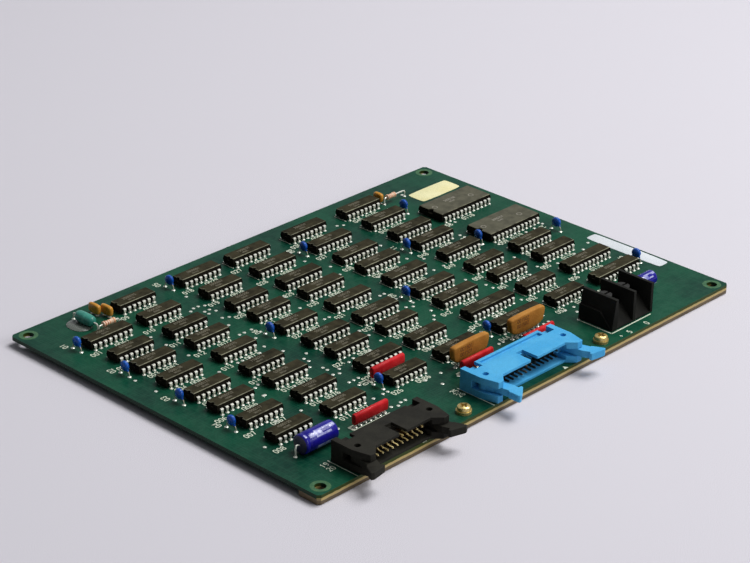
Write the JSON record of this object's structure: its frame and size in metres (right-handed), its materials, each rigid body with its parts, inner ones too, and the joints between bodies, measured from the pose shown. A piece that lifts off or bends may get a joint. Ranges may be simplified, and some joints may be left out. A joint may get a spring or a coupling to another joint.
{
  "type": "printed circuit board",
  "caption": "Through-hole logic board with columns of dual in-line packages, two right-angle box headers with ejector latches and a barrier terminal block on a stiffened front edge.",
  "frame": {"origin": "centre of the rectangle of corner holes, in the plane of the board's underside", "axes": "+X along the connector edge, +Y away from the connector edge, +Z out of the component side"},
  "size_m": [0.2366, 0.179, 0.0168],
  "materials": {
    "tinned_lead": "tinned",
    "ceramic_yellow": "dipped",
    "board_laminate": "green solder resist over glass laminate",
    "cream_paper": "paper",
    "disc_blue": "dipped",
    "film_teal": "dipped",
    "clear_glue": "clear adhesive",
    "black_nylon": "moulded",
    "gold_pin": "gold flash",
    "blue_nylon": "moulded",
    "sleeve_violet": "shrink sleeve",
    "package_resin": "moulded epoxy",
    "resistor_peach": "lacquer",
    "network_red": "moulded",
    "yellow_plated_bar": "yellow passivated",
    "yellow_zinc": "yellow zinc plate",
    "network_brown": "dipped",
    "black_phenolic": "moulded",
    "nickel_plate": "nickel plate, satin",
    "white_paper": "paper",
    "wide_package_resin": "moulded epoxy, worn grey"
  },
  "bodies": {
    "board": {"axial_leads": "tinned_lead", "ceramic_capacitor_1": "ceramic_yellow", "ceramic_capacitor_2": "ceramic_yellow", "ceramic_capacitor_3": "ceramic_yellow", "ceramic_capacitor_leads": "tinned_lead", "circuit_board": "board_laminate", "cream_label": "cream_paper", "disc_capacitor_leads": "tinned_lead", "disc_capacitors": "disc_blue", "film_capacitor": "film_teal", "glue": "clear_glue", "header_20_housing": "black_nylon", "header_20_pins": "gold_pin", "header_26_housing": "blue_nylon", "header_26_pins": "gold_pin", "large_electrolytic": "sleeve_violet", "leads_column_1": "tinned_lead", "leads_column_2": "tinned_lead", "leads_column_3": "tinned_lead", "leads_column_4": "tinned_lead", "leads_column_5": "tinned_lead", "leads_column_6": "tinned_lead", "leads_column_7": "tinned_lead", "network_leads": "tinned_lead", "packages_column_1": "package_resin", "packages_column_2": "package_resin", "packages_column_3": "package_resin", "packages_column_4": "package_resin", "packages_column_5": "package_resin", "packages_column_6": "package_resin", "packages_column_7": "package_resin", "resistor_1": "resistor_peach", "resistor_2": "resistor_peach", "resistor_network_1": "network_red", "resistor_network_2": "network_red", "resistor_network_3": "network_red", "resistor_network_4": "network_red", "small_electrolytic": "sleeve_violet", "stiffener_bar": "yellow_plated_bar", "stiffener_screws": "yellow_zinc", "stiffener_washers": "yellow_zinc", "tall_network_1": "network_brown", "tall_network_2": "network_brown", "terminal_block": "black_phenolic", "terminal_plates": "nickel_plate", "terminal_screws": "nickel_plate", "white_label": "white_paper", "wide_package_leads": "tinned_lead", "wide_packages": "wide_package_resin"},
    "header_20_left_latch": {"header_20_left_latch": "black_nylon"},
    "header_20_right_latch": {"header_20_right_latch": "black_nylon"},
    "header_26_left_latch": {"header_26_left_latch": "blue_nylon"},
    "header_26_right_latch": {"header_26_right_latch": "blue_nylon"}
  },
  "joints": [
    {"name": "header_20_left_latch_pivot", "type": "hinge", "parent": "board", "child": "header_20_left_latch", "pos_m": [-0.09463, -0.07991, 0.006], "axis": [0, 0, -1], "range_deg": [-27, 28]},
    {"name": "header_20_right_latch_pivot", "type": "hinge", "parent": "board", "child": "header_20_right_latch", "pos_m": [-0.05757, -0.07991, 0.006], "axis": [0, 0, 1], "range_deg": [-20, 35]},
    {"name": "header_26_left_latch_pivot", "type": "hinge", "parent": "board", "child": "header_26_left_latch", "pos_m": [-0.02295, -0.0765, 0.006], "axis": [0, 0, -1], "range_deg": [0, 55]},
    {"name": "header_26_right_latch_pivot", "type": "hinge", "parent": "board", "child": "header_26_right_latch", "pos_m": [0.02173, -0.0765, 0.006], "axis": [0, 0, 1], "range_deg": [-27, 28]}
  ]
}
